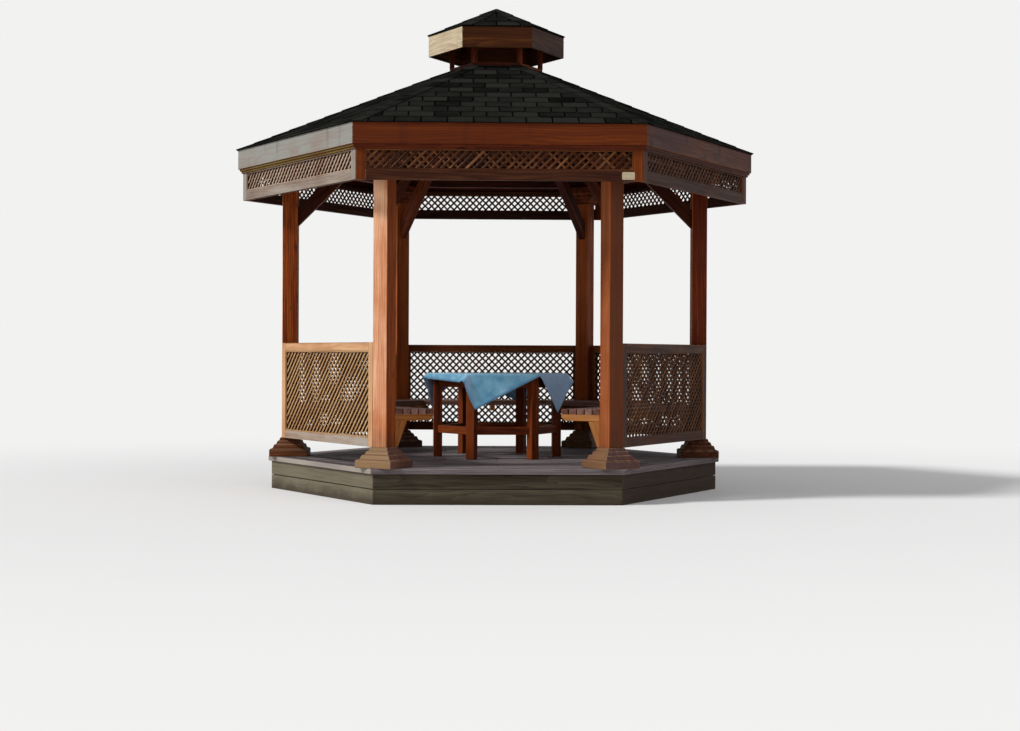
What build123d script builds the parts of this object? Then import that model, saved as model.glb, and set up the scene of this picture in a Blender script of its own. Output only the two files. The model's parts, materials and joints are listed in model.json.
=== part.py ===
from build123d import *
import math
import os

# Hexagonal timber garden pavilion, millimetres, +Z up, origin on the ground under the roof's apex.
# The entrance side faces -Y. Heights marked "above deck" are measured from the deck's top.

# Base and deck
DECK_TOP = 300.0
DECK_THICK = 45.0
DECK_MARGIN = 200.0         # deck's corner past a post's centre
BORDER_WIDTH = 140.0
BOARD_OVERHANG = 26.0       # deck edge past the base boards, square to a side
BASE_BOARD = 22.0
BASE_JOINT = 6.0            # dark open joint between the two courses of base boards
RIM_JOIST = 45.0
JOIST_WIDTH = 45.0
JOIST_DEPTH = 145.0
JOIST_PITCH = 480.0

# Posts
POST_CIRCLE = 1900.0        # radius through the post centres
POST = 140.0
POST_TOP = 2660.0           # above deck
PLINTH_TIERS = [(350.0, 350.0, 62.0), (350.0, 330.0, 9.0), (296.0, 268.0, 38.0),
                (236.0, 212.0, 33.0), (186.0, 168.0, 29.0)]  # foot width, head width, height

# Balustrade
RAIL_TOP = 1046.0           # above deck
FRAME_THICK = 45.0
PANEL_RAIL = 73.0
PANEL_STILE = 77.0
RAIL_CHAMFER = 8.0

# Lattice, two crossed layers of diagonal laths
LATH_PITCH = 67.0           # along the rail, and up the stile
LATH_WIDTH = 18.0
LATH_THICK = 8.0
LATTICE_BEAD = 12.0

# Frieze that hangs below the eave
FRIEZE_SETBACK = 40.7       # behind the fascia's face
FRIEZE_DROP = 7.0           # frieze's top below the post tops
FRIEZE_HEIGHT = 288.0
FRIEZE_FOOT_RAIL = 86.0
FRIEZE_HEAD_RAIL = 38.0
FRIEZE_STILE = 82.0
MOULDING_STEPS = [(14.0, 19.0), (27.5, 19.0)]  # how far each step stands out, and its height

# Main roof
EAVE_REACH = 491.0          # fascia's corner past a post's centre
EAVE_RISE = 178.0           # shingles' top at the fascia, above the post tops
ROOF_PITCH = 23.6
SHINGLE_DROP = 15.0         # shingles past the fascia
SHINGLE = 8.0
SHEATHING = 22.0
FASCIA = 25.0
HIP_WIDTH = 60.0
HIP_DEPTH = 150.0
RAFTER_WIDTH = 45.0
RAFTER_DEPTH = 120.0
BEAM_WIDTH = 100.0
BEAM_HEIGHT = 150.0
BRACE_FALL = 530.0          # brace's foot below the post top
BRACE_DEPTH = 120.0
BRACE_THICK = 66.0

# Roof lantern
LANTERN_CIRCLE = 410.0
LANTERN_POST = 45.0
CURB_WIDTH = 58.0
CURB_RISE = 24.0            # curb above the shingles
LANTERN_CORNER = 630.0
LANTERN_RISE = 305.0        # its eave above the curb
LANTERN_PITCH = 25.2
LANTERN_FASCIA_HEIGHT = 189.0
LANTERN_FASCIA = 20.0
LANTERN_SHEATHING = 18.0
LANTERN_RAFTER_WIDTH = 40.0
LANTERN_RAFTER_DEPTH = 60.0
LANTERN_PLATE = 50.0
BOSS_WIDTH = 90.0
LANTERN_LIP = 8.0

# Benches
SEAT_TOP = 488.0            # above deck
SEAT_BACK_GAP = 74.0        # between the slats and the balustrade
SLATS = 6
SLAT_WIDTH = 62.0
SLAT_GAP = 12.0
SLAT_THICK = 45.0
ARM_WIDTH = 46.0
ARM_DEPTH = 55.0
ARM_BEVEL = 30.0
STRUT_HEAD = 110.0
STRUT_FOOT = 25.0
STRUT_THICK = 40.0

# Table and cloth
TABLE_TURN = 4.5            # the table stands a little askew
TABLE_SHIFT = (25.0, 0.0)
TABLE_OVERHANG = 100.0      # table's corner past a leg's centre
LEG = 80.0
TABLE_CORNER = 655.0
TABLE_TOP = 765.0           # above deck
TABLE_BOARD = 28.0
APRON_HEIGHT = 90.0
APRON = 30.0
STRETCHER_MID = 257.0       # above deck
STRETCHER_HEIGHT = 70.0
STRETCHER = 45.0
CLOTH_SIDE = 1318.0
CLOTH_TURN = 31.7
CLOTH_SHIFT = (53.0, -6.0)
CLOTH_THICK = 4.0

# Fits
MITRE_GAP = 0.6             # each board stops this far short of a mitre
FIT = 0.3
SEAT_GAP = 3.0              # between the slats of two benches, each side
SLAT_CLEAR = 1.0            # round a post

SIDES = {"back_right": 30, "back": 90, "back_left": 150, "front_left": 210, "front": 270, "front_right": 330}
CORNERS = [0, 60, 120, 180, 240, 300]
ENTRANCE = "front"
RAILED = [name for name in SIDES if name != ENTRANCE]
COS30 = math.cos(math.radians(30))
TAN30 = math.tan(math.radians(30))


def face(points):
    """A flat face through the points, in the XY plane."""
    return make_face(Polyline(*points, close=True))


def prism(points, z_low, z_high):
    """An upright prism over a plan outline."""
    return extrude(Pos(0, 0, z_low) * face(points), z_high - z_low, dir=(0, 0, 1))


def profile(points, width, shift=0.0):
    """A piece drawn in the YZ plane and given a width along X, centred unless shifted."""
    return Pos(shift, 0, 0) * extrude(Plane.YZ * face(points), width / 2, both=True)


def turned(shape, angle):
    """The piece, drawn with its outward direction along +Y, turned to a plan angle."""
    return shape.rotate(Axis.Z, angle - 90)


def mitred(y_in, y_out, z_low, z_high, gap=MITRE_GAP):
    """One side of a hexagonal ring, cut at both ends to meet its neighbours."""
    out, inn = y_out * TAN30 - gap, y_in * TAN30 - gap
    return prism([(-out, y_out), (out, y_out), (inn, y_in), (-inn, y_in)], z_low, z_high)


def bay_end(circle, post, y):
    """Half the clear length between two square posts, at a distance y from the axis."""
    half = post / 2
    corner = (circle / 2 + half / 2 - half * COS30, circle * COS30 + half * COS30 + half / 2)
    return corner[0] - (corner[1] - y) * TAN30


def bay_board(circle, post, y_in, y_out, z_low, z_high):
    """A board that fills the bay between two square posts, its ends cut to their faces."""
    out, inn = bay_end(circle, post, y_out), bay_end(circle, post, y_in)
    return prism([(-out, y_out), (out, y_out), (inn, y_in), (-inn, y_in)], z_low, z_high)


def both_ends(shape):
    """A piece and its mirror image at the other end of a side."""
    return [shape, shape.mirror(Plane.YZ)]


def around(shape, angles):
    """Copies of one piece at several plan angles."""
    return [turned(shape, angle) for angle in angles]


def square_at(circle, size, z_low, z_high):
    """A square upright piece on a circle, its faces square to the radius."""
    half = size / 2
    near, far = circle - half, circle + half
    return prism([(-half, near), (half, near), (half, far), (-half, far)], z_low, z_high)


def stepped_block(tiers, core):
    """A stack of bevelled square tiers with a square hole for the post."""
    block, height = None, 0.0
    for foot, head, rise in tiers:
        taper = math.degrees(math.atan((foot - head) / 2 / rise))
        tier = Pos(0, 0, height) * extrude(Rectangle(foot, foot), rise, taper=taper)
        block = tier if block is None else block + tier
        height += rise
    return block - extrude(Rectangle(core, core), height)


def lath_layer(width, height):
    """One layer of a lattice: parallel diagonal laths held by a bead at the foot and one side."""
    reach = LATH_WIDTH / math.sqrt(2)
    left, foot = -width / 2 + LATTICE_BEAD, LATTICE_BEAD
    span = width + height
    count = math.ceil(span / LATH_PITCH) + 1
    first = (height - count * LATH_PITCH) / 2
    gaps = []
    for i in range(count):
        low = first + i * LATH_PITCH + reach
        high = low + LATH_PITCH - 2 * reach
        start = [(left, left + c) if left + c >= foot else (foot - c, foot) for c in (low, high)]
        if start[0][0] >= width / 2 and start[1][0] >= width / 2 or start[0][1] >= height:
            continue
        corner = [(left, foot)] if (start[0][0] > left and start[1][1] > foot) else []
        far = span * 2
        gaps.append(face([start[0], (far, far + low), (far, far + high), start[1]] + corner))
    sheet = face([(-width / 2, 0), (width / 2, 0), (width / 2, height), (-width / 2, height)])
    return sheet - gaps


def lattice(width, height, y_mid, z_low):
    """Two crossed lath layers, the outer rising to the right, as two solids with a hair's gap between."""
    layer = extrude(lath_layer(width, height), LATH_THICK)
    upright = layer.rotate(Axis.X, 90)
    front = Pos(0, y_mid + LATH_THICK + FIT / 2, z_low) * upright.mirror(Plane.YZ)
    back = Pos(0, y_mid - FIT / 2, z_low) * upright
    return [front, back]


def roof_height(y, top, eave, pitch):
    """Height of a roof face at a distance y from the axis, both square to its side."""
    return top + (eave - y) * math.tan(math.radians(pitch))


def slope_slab(y_in, y_out, height, thick, gap):
    """One hexagonal roof face, plumb at its ends and mitred at the hips."""
    points = [(y_in, height(y_in)), (y_out, height(y_out)),
              (y_out, height(y_out) - thick), (y_in, height(y_in) - thick)]
    slab = profile(points, 2 * y_out)
    return slab & mitred(y_in, y_out, height(y_out) - 2 * thick, height(y_in) + thick, gap)


def rafter(width, r_in, r_out, top, depth, seat_out, seat_z, tail_z):
    """A rafter with a notch over the ring beam and, where it needs one, a level cut at its tail."""
    slope = (top(r_in) - top(r_out)) / (r_out - r_in)
    under = lambda r: top(r) - depth
    seat_in = r_in + (under(r_in) - seat_z) / slope
    points = [(r_in, top(r_in)), (r_out, top(r_out))]
    if under(r_out) < tail_z:
        points += [(r_out, tail_z), (r_out - (tail_z - under(r_out)) / slope, tail_z)]
    else:
        points += [(r_out, under(r_out))]
    if seat_in < seat_out:
        points += [(seat_out, under(seat_out)), (seat_out, seat_z), (seat_in, seat_z)]
    points += [(r_in, under(r_in))]
    return profile(points, width)


def solids_of(shapes):
    """Every solid in a list of shapes."""
    return [solid for shape in shapes for solid in shape.solids()]


nodes = {}

# Base: two courses of boards on rim joists, with floor joists between
deck_foot = DECK_TOP - DECK_THICK
deck_edge = (POST_CIRCLE + DECK_MARGIN) * COS30
wall_face = deck_edge - BOARD_OVERHANG
course = (deck_foot - BASE_JOINT) / 2
rim_face = wall_face - BASE_BOARD
rim_back = rim_face - RIM_JOIST
nodes["base_lower_boards"] = around(mitred(rim_face, wall_face, 0, course), SIDES.values())
nodes["base_upper_boards"] = around(mitred(rim_face, wall_face, course + BASE_JOINT, deck_foot), SIDES.values())
nodes["rim_joists"] = around(mitred(rim_back, rim_face, 0, deck_foot), SIDES.values())
inside = turned(RegularPolygon(rim_back - FIT, 6, major_radius=False), 90)
joist_count = int(rim_back // JOIST_PITCH)
joists = [Pos(i * JOIST_PITCH, 0) * Rectangle(JOIST_WIDTH, 4 * rim_back) & inside
          for i in range(-joist_count, joist_count + 1)]
nodes["floor_joists"] = [extrude(Pos(0, 0, deck_foot - JOIST_DEPTH) * j, JOIST_DEPTH) for j in joists]
border_in = deck_edge - BORDER_WIDTH
nodes["deck_border"] = around(mitred(border_in, deck_edge, deck_foot, DECK_TOP), SIDES.values())
floor_plan = RegularPolygon(border_in - FIT, 6, major_radius=False)
nodes["deck_floor"] = [extrude(Pos(0, 0, deck_foot) * floor_plan, DECK_THICK)]

# Posts with stepped feet and heads
post_top = DECK_TOP + POST_TOP
plinth_height = sum(rise for _, _, rise in PLINTH_TIERS)
nodes["posts"] = around(square_at(POST_CIRCLE, POST, DECK_TOP, post_top), CORNERS)
plinth = stepped_block(PLINTH_TIERS, POST)
nodes["post_plinths"] = around(Pos(0, POST_CIRCLE, DECK_TOP) * plinth, CORNERS)
nodes["post_capitals"] = around(Pos(0, POST_CIRCLE, post_top) * plinth.mirror(Plane.XY), CORNERS)

# Balustrade panels on every side but the entrance
panel_out = POST_CIRCLE * COS30 + POST / 2 * (COS30 + 0.5)
panel_in = panel_out - FRAME_THICK
panel_low, panel_high = DECK_TOP + plinth_height, DECK_TOP + RAIL_TOP
ends = [bay_end(POST_CIRCLE, POST, y) for y in (panel_in, panel_out)]
open_half = ends[1] - PANEL_STILE
stiles = both_ends(prism([(open_half, panel_in), (ends[0], panel_in), (ends[1], panel_out),
                          (open_half, panel_out)], panel_low, panel_high))
foot_rail = prism([(-open_half, panel_out), (open_half, panel_out), (open_half, panel_in), (-open_half, panel_in)],
                  panel_low, panel_low + PANEL_RAIL)
head_rail = profile([(panel_in, panel_high - PANEL_RAIL), (panel_out, panel_high - PANEL_RAIL),
                     (panel_out, panel_high - RAIL_CHAMFER), (panel_out - RAIL_CHAMFER, panel_high),
                     (panel_in + RAIL_CHAMFER, panel_high), (panel_in, panel_high - RAIL_CHAMFER)], 2 * open_half)
panel_net = lattice(2 * (open_half - FIT), panel_high - panel_low - 2 * PANEL_RAIL - 2 * FIT,
                    (panel_in + panel_out) / 2, panel_low + PANEL_RAIL + FIT)
nodes["balustrade_stiles"] = [turned(stile, SIDES[s]) for s in RAILED for stile in stiles]
nodes["balustrade_foot_rails"] = around(foot_rail, [SIDES[s] for s in RAILED])
nodes["balustrade_head_rails"] = around(head_rail, [SIDES[s] for s in RAILED])
for side in RAILED:
    nodes[f"balustrade_lattice_{side}"] = [turned(layer, SIDES[side]) for layer in panel_net]

# Main roof surfaces, as plumb depths below the shingles' top
pitch_cos = math.cos(math.radians(ROOF_PITCH))
shingle_plumb, sheathing_plumb = SHINGLE / pitch_cos, SHEATHING / pitch_cos
hip_slope = math.tan(math.radians(ROOF_PITCH)) * COS30
fascia_out = (POST_CIRCLE + EAVE_REACH) * COS30
fascia_in = fascia_out - FASCIA
frieze_top = post_top - FRIEZE_DROP
roof_top = lambda y: roof_height(y, post_top + EAVE_RISE, fascia_out, ROOF_PITCH)
sheathing_top = lambda y: roof_top(y) - shingle_plumb
rafter_top = lambda y: sheathing_top(y) - sheathing_plumb
hip_back = HIP_WIDTH / 4 * math.tan(math.radians(ROOF_PITCH))
hip_top = lambda r: rafter_top(r * COS30) - hip_back
hip_plumb = HIP_DEPTH * math.sqrt(1 + hip_slope ** 2)
rafter_plumb = RAFTER_DEPTH / pitch_cos

# Roof lantern curb, which the rafters and the main slopes stop against
curb_corner = LANTERN_CIRCLE + LANTERN_POST / 2
curb_out = curb_corner * COS30
curb_in = curb_out - CURB_WIDTH
curb_top = roof_top(curb_out) + CURB_RISE
curb_foot = hip_top(curb_corner) - hip_plumb
nodes["lantern_curb"] = around(mitred(curb_in, curb_out, curb_foot, curb_top), SIDES.values())

# Fascia, shingles, sheathing and rafters
nodes["roof_shingles"] = around(
    slope_slab(curb_out + FIT, fascia_out + SHINGLE_DROP, roof_top, shingle_plumb, 1.0), SIDES.values())
nodes["roof_sheathing"] = around(
    slope_slab(curb_out + FIT, fascia_in - FIT, sheathing_top, sheathing_plumb, 1.0), SIDES.values())
nodes["fascia_boards"] = around(mitred(fascia_in, fascia_out, frieze_top, sheathing_top(fascia_out)), SIDES.values())
beam_mid = POST_CIRCLE * COS30
beam_in, beam_out = beam_mid - BEAM_WIDTH / 2, beam_mid + BEAM_WIDTH / 2
beam_top = post_top + BEAM_HEIGHT
nodes["ring_beams"] = around(mitred(beam_in, beam_out, post_top, beam_top), SIDES.values())
hip_tail = fascia_in / COS30 - HIP_WIDTH / 2 * TAN30
hip = rafter(HIP_WIDTH, curb_corner, hip_tail, hip_top, hip_plumb, beam_out / COS30, beam_top, frieze_top)
nodes["hip_rafters"] = around(hip, CORNERS)
common = rafter(RAFTER_WIDTH, curb_out, fascia_in, rafter_top, rafter_plumb, beam_out, beam_top, frieze_top)
nodes["common_rafters"] = around(common, SIDES.values())

# Knee braces, one to each post, up to its hip rafter
brace_in = POST_CIRCLE - POST / 2
brace_plumb = BRACE_DEPTH * math.sqrt(2)
brace_low = post_top - BRACE_FALL
hip_under = lambda r: hip_top(r) - hip_plumb
meet = lambda foot: brace_in - (hip_under(brace_in) - foot) / (1 - hip_slope)
brace = [(brace_in, brace_low), (brace_in, brace_low + brace_plumb)]
brace += [(r, hip_under(r)) for r in (meet(brace_low + brace_plumb), meet(brace_low))]
nodes["knee_braces"] = around(profile(brace, BRACE_THICK), CORNERS)

# Frieze: frame, lattice and the stepped moulding over it
frieze_out = fascia_out - FRIEZE_SETBACK
frieze_in = frieze_out - FRAME_THICK
frieze_low = frieze_top - FRIEZE_HEIGHT
frieze_half = frieze_out * TAN30 - FRIEZE_STILE
ends = [y * TAN30 - MITRE_GAP for y in (frieze_in, frieze_out)]
stiles = both_ends(prism([(frieze_half, frieze_in), (ends[0], frieze_in), (ends[1], frieze_out),
                          (frieze_half, frieze_out)], frieze_low, frieze_top))
nodes["frieze_stiles"] = [turned(stile, angle) for angle in SIDES.values() for stile in stiles]
rail_plan = [(-frieze_half, frieze_in), (frieze_half, frieze_in), (frieze_half, frieze_out), (-frieze_half, frieze_out)]
nodes["frieze_foot_rails"] = around(prism(rail_plan, frieze_low, frieze_low + FRIEZE_FOOT_RAIL), SIDES.values())
nodes["frieze_head_rails"] = around(prism(rail_plan, frieze_top - FRIEZE_HEAD_RAIL, frieze_top), SIDES.values())
frieze_net = lattice(2 * (frieze_half - FIT), FRIEZE_HEIGHT - FRIEZE_FOOT_RAIL - FRIEZE_HEAD_RAIL - 2 * FIT,
                     (frieze_in + frieze_out) / 2, frieze_low + FRIEZE_FOOT_RAIL + FIT)
for side in SIDES:
    nodes[f"frieze_lattice_{side}"] = [turned(layer, SIDES[side]) for layer in frieze_net]
step_top, moulding = frieze_top, None
for out, rise in reversed(MOULDING_STEPS):
    step = mitred(frieze_out, frieze_out + out, step_top - rise, step_top)
    moulding = step if moulding is None else moulding + step
    step_top -= rise
nodes["eave_moulding"] = around(moulding, SIDES.values())

# Roof lantern: posts on the curb, a plate ring, rafters to a boss, and its own small roof
lantern_out = LANTERN_CORNER * COS30
lantern_in = lantern_out - LANTERN_FASCIA
lantern_top = lambda y: roof_height(y, curb_top + LANTERN_RISE, lantern_out, LANTERN_PITCH)
lantern_cos = math.cos(math.radians(LANTERN_PITCH))
lantern_sheathing = lambda y: lantern_top(y) - SHINGLE / lantern_cos
lantern_under = lambda y: lantern_sheathing(y) - LANTERN_SHEATHING / lantern_cos
lantern_back = LANTERN_RAFTER_WIDTH / 4 * math.tan(math.radians(LANTERN_PITCH))
lantern_hip = lambda r: lantern_under(r * COS30) - lantern_back
lantern_plumb = LANTERN_RAFTER_DEPTH / lantern_cos
plate_top = lantern_hip(LANTERN_CIRCLE) - lantern_plumb
plate_low = plate_top - LANTERN_PLATE
nodes["lantern_posts"] = around(square_at(LANTERN_CIRCLE, LANTERN_POST, curb_top, plate_low), CORNERS)
nodes["lantern_plates"] = around(mitred(curb_in, curb_out, plate_low, plate_top), SIDES.values())
lantern_tail = lantern_in / COS30 - LANTERN_RAFTER_WIDTH / 2 * TAN30
lantern_foot = lantern_sheathing(lantern_out) - LANTERN_FASCIA_HEIGHT
lantern_rafter = rafter(LANTERN_RAFTER_WIDTH, BOSS_WIDTH / 2, lantern_tail, lantern_hip, lantern_plumb,
                        curb_corner, plate_top, lantern_foot)
nodes["lantern_rafters"] = around(lantern_rafter, CORNERS)
boss_plan = turned(RegularPolygon(BOSS_WIDTH / 2, 6, major_radius=False), 60)
boss_low, boss_high = lantern_hip(0) - 2 * lantern_plumb, lantern_under(BOSS_WIDTH / 2 / COS30) - FIT
nodes["lantern_boss"] = [extrude(Pos(0, 0, boss_low) * boss_plan, boss_high - boss_low)]
nodes["lantern_fascia"] = around(
    mitred(lantern_in, lantern_out, lantern_foot, lantern_sheathing(lantern_out)), SIDES.values())
tip = 6.0
nodes["lantern_sheathing"] = around(
    slope_slab(tip, lantern_in - FIT, lantern_sheathing, LANTERN_SHEATHING / lantern_cos, 1.0), SIDES.values())
nodes["lantern_shingles"] = around(
    slope_slab(tip, lantern_out + LANTERN_LIP, lantern_top, SHINGLE / lantern_cos, 1.0), SIDES.values())

# Benches: slats along each railed side, arms and tapered struts at the posts
slat_high = DECK_TOP + SEAT_TOP
slat_low = slat_high - SLAT_THICK
arm_low = slat_low - ARM_DEPTH
strut_low = DECK_TOP + plinth_height
seat_outer = panel_in - SEAT_BACK_GAP
seat_inner = seat_outer - SLATS * SLAT_WIDTH - (SLATS - 1) * SLAT_GAP
post_near = POST_CIRCLE - POST / 2
bench_end = POST_CIRCLE / 2 + POST / 4 * (2 * COS30 - 1)
post_clear = square_at(POST_CIRCLE, POST + 2 * SLAT_CLEAR, slat_low - FIT, slat_high + FIT)
slats, arms, struts = [], [], []
for side in RAILED:
    low_end = "entrance" if side == "front_left" else "mitre"
    high_end = "entrance" if side == "front_right" else "mitre"
    for i in range(SLATS):
        near = seat_inner + i * (SLAT_WIDTH + SLAT_GAP)
        far = near + SLAT_WIDTH
        lows = [bench_end if low_end == "entrance" else y * TAN30 - SEAT_GAP for y in (near, far)]
        highs = [bench_end if high_end == "entrance" else y * TAN30 - SEAT_GAP for y in (near, far)]
        slat = prism([(-lows[0], near), (highs[0], near), (highs[1], far), (-lows[1], far)], slat_low, slat_high)
        for turn in (60, 120):
            slat = slat - turned(post_clear, turn)
        slats.append(turned(slat, SIDES[side]))
    batten = prism([(-ARM_WIDTH / 2, seat_inner), (ARM_WIDTH / 2, seat_inner),
                    (ARM_WIDTH / 2, seat_outer), (-ARM_WIDTH / 2, seat_outer)], arm_low, slat_low)
    arms.append(turned(batten, SIDES[side]))


def bench_arm(y_in, y_out, x_mid):
    """A bearer under the slats, bevelled below at its free end."""
    return profile([(y_in, slat_low), (y_out, slat_low), (y_out, arm_low), (y_in + ARM_BEVEL, arm_low),
                    (y_in, arm_low + ARM_DEPTH / 2)], ARM_WIDTH, x_mid)


def bench_strut(y_post, x_mid, y_back):
    """A board that tapers down from the arm to the top of the post's foot."""
    return profile([(y_back, arm_low), (y_post - STRUT_HEAD, arm_low), (y_post - STRUT_FOOT, strut_low),
                    (y_back, strut_low)], STRUT_THICK, x_mid)


for angle in (0, 60, 120, 180):
    arms.append(turned(bench_arm(seat_inner / COS30, post_near, 0), angle))
    struts.append(turned(bench_strut(post_near, 0, post_near), angle))
end_mid = bench_end - ARM_WIDTH / 2
post_face = POST_CIRCLE * COS30 - POST / 2 * (COS30 + 0.5)
for side, sign, turn in (("front_left", -1, 120), ("front_right", 1, 60)):
    post_body = turned(square_at(POST_CIRCLE, POST, 0, slat_high), turn)
    end_arm = bench_arm(seat_inner, panel_in, sign * end_mid) - post_body
    end_strut = bench_strut(post_face, sign * end_mid, panel_in) - post_body
    inner = [min(piece.solids(), key=lambda s: s.center().Y) for piece in (end_arm, end_strut)]
    arms.append(turned(inner[0], SIDES[side]))
    struts.append(turned(inner[1], SIDES[side]))
nodes["bench_slats"], nodes["bench_arms"], nodes["bench_struts"] = slats, arms, struts

# Table on six legs
table_place = Pos(*TABLE_SHIFT) * Rot(0, 0, TABLE_TURN)
table_high = DECK_TOP + TABLE_TOP
board_low = table_high - TABLE_BOARD
leg_circle = TABLE_CORNER - TABLE_OVERHANG
leg_mid = leg_circle * COS30
table_plan = turned(RegularPolygon(TABLE_CORNER, 6), 90)
nodes["table_top"] = [table_place * extrude(Pos(0, 0, board_low) * table_plan, TABLE_BOARD)]
nodes["table_legs"] = around(square_at(leg_circle, LEG, DECK_TOP, board_low), CORNERS)
nodes["table_apron"] = around(bay_board(leg_circle, LEG, leg_mid - APRON / 2, leg_mid + APRON / 2,
                                        board_low - APRON_HEIGHT, board_low), SIDES.values())
stretcher_low = DECK_TOP + STRETCHER_MID - STRETCHER_HEIGHT / 2
nodes["table_stretchers"] = around(bay_board(leg_circle, LEG, leg_mid - STRETCHER / 2, leg_mid + STRETCHER / 2,
                                             stretcher_low, stretcher_low + STRETCHER_HEIGHT), SIDES.values())
for name in ("table_legs", "table_apron", "table_stretchers"):
    nodes[name] = [table_place * piece for piece in nodes[name]]

# Tablecloth: a square laid askew, folded down over each edge of the table
cloth_low = table_high + FIT
fold = TABLE_CORNER * COS30 + FIT
square = table_place.inverse() * Pos(*CLOTH_SHIFT) * Rot(0, 0, CLOTH_TURN) * Rectangle(CLOTH_SIDE, CLOTH_SIDE)
lid_plan = RegularPolygon(fold + CLOTH_THICK, 6, major_radius=False) & square
cloth = extrude(Pos(0, 0, cloth_low) * lid_plan, CLOTH_THICK)
for angle in SIDES.values():
    edge = (fold + CLOTH_THICK) * TAN30
    beyond = face([(-edge, fold), (edge, fold), (edge, 2 * fold), (-edge, 2 * fold)])
    flap = square.rotate(Axis.Z, 90 - angle) & beyond
    if not flap.faces():
        continue
    hanging = extrude(Pos(0, 0, cloth_low) * flap, CLOTH_THICK)
    hanging = hanging.rotate(Axis((0, fold, cloth_low), (1, 0, 0)), -90)
    cloth = cloth + turned(hanging, angle)
nodes["tablecloth"] = [table_place * cloth]

os.makedirs("parts", exist_ok=True)
for name, shapes in nodes.items():
    export_step(Compound(solids_of(shapes)), f"parts/{name}.step")
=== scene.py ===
"""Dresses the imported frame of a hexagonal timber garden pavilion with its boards, shingles, laths and cloth."""

import json
import logging
import math
import random
from dataclasses import dataclass, field
from enum import Enum
from typing import Iterator, Optional, Sequence, Union

import bmesh
import bpy
from mathutils import Matrix, Vector

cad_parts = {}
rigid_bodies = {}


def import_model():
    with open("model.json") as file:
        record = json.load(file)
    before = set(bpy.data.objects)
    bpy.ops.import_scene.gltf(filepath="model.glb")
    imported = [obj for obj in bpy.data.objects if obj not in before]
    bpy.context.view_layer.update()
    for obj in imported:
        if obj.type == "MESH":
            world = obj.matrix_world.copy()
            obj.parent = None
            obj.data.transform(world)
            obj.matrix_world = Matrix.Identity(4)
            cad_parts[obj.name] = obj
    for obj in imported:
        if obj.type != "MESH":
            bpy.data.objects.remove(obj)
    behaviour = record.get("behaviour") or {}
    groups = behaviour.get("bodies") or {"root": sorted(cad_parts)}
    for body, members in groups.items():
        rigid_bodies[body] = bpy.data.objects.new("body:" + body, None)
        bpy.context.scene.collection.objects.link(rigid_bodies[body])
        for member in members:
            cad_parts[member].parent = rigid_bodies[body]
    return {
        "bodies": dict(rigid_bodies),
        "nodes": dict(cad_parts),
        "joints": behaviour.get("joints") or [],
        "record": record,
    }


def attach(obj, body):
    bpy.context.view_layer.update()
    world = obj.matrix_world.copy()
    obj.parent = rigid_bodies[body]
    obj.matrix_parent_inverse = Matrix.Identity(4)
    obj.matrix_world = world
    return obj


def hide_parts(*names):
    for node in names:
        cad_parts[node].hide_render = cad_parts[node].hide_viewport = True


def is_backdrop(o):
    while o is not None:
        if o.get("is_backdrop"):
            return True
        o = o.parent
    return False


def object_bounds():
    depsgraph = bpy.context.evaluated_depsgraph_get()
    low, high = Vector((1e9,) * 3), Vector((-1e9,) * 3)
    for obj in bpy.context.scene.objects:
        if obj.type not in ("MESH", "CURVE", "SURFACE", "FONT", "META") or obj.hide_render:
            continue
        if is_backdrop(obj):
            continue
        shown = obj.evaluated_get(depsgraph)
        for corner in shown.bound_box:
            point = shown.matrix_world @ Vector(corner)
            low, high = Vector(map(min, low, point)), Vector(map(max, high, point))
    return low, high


Point = tuple[float, float]
Corner = tuple[float, float, float, float]
SizeBox = tuple[Sequence[float], Sequence[float]]
Socket = bpy.types.NodeSocket
Value = Union[float, str, Sequence[float], Socket]

LOG = logging.getLogger("pavilion")
TAN30 = math.tan(math.radians(30))
COS30 = math.cos(math.radians(30))
WELD = 2e-5  # corners of a carried solid that are closer than this are one
SCRAP = 1e-5  # boards with less than this area, in square metres, are left out
SMALL_TAB = 4e-4  # and shingle tabs with less than this
CLEAR = 0.0002  # keeps two boards' faces from lying in one plane
FLAT_ANGLE = 0.01  # faces that meet at less are one face, in radians
SHARP_ANGLE = 0.45  # edges that turn by more are softened, in radians
BEYOND = 3.0  # further out than any floor, panel or roof face reaches
WAVE_SPACING = 0.314  # what lies between a wave texture's lines at a scale of 1
RING = 0.017  # growth rings are about 4 mm wide; wider here, so that they show from the camera's distance
THREAD = 0.007  # cotton threads are 0.6 mm apart; wider here for the same reason
RINGS, STREAKS, FIBRES = 0.16, 0.55, 0.42  # what each adds to the grain's pattern
FIGURE = (0.36, 0.78)  # the usual lowest and highest of that pattern
# The next two are the directions of painted sunlight and painted shade; the sun also fades the finish, and the shaded
# side stays damp.
SUNWARD = (-0.82, -0.5, 0.28)  # where the sun stands for most of the day
SHADE_SIDE = (0.87, -0.48, 0.0)  # the side that it leaves damp
SOAKED = "#1f1412"
FOOT_DARK = "#362d23"


class Side(Enum):
    """The pavilion's six sides, each by the plan angle in degrees that it faces."""

    BACK_RIGHT = 30
    BACK = 90
    BACK_LEFT = 150
    FRONT_LEFT = 210
    FRONT = 270
    FRONT_RIGHT = 330

    @property
    def turn(self) -> Matrix:
        """Turns a piece drawn with its outward direction along +Y to this side."""
        return Matrix.Rotation(math.radians(self.value - 90), 4, "Z")

    @property
    def label(self) -> str:
        """The side's name as the CAD nodes write it."""
        return self.name.lower()


class Slot(Enum):
    """The record's material slots."""

    BOARDS = "weathered_boards"
    TIMBER = "stained_timber"
    LATTICE = "stained_lattice"
    ROOF = "roof_timber"
    SHINGLES = "shingles"
    CLOTH = "cloth"


def linear(code: str) -> tuple[float, float, float, float]:
    """Turns an sRGB hex colour, "#rrggbb", to linear red, green, blue and an alpha of 1."""
    parts = [int(code[i:i + 2], 16) / 255 for i in (1, 3, 5)]
    return tuple(c / 12.92 if c <= 0.04045 else ((c + 0.055) / 1.055) ** 2.4 for c in parts) + (1.0,)


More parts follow.
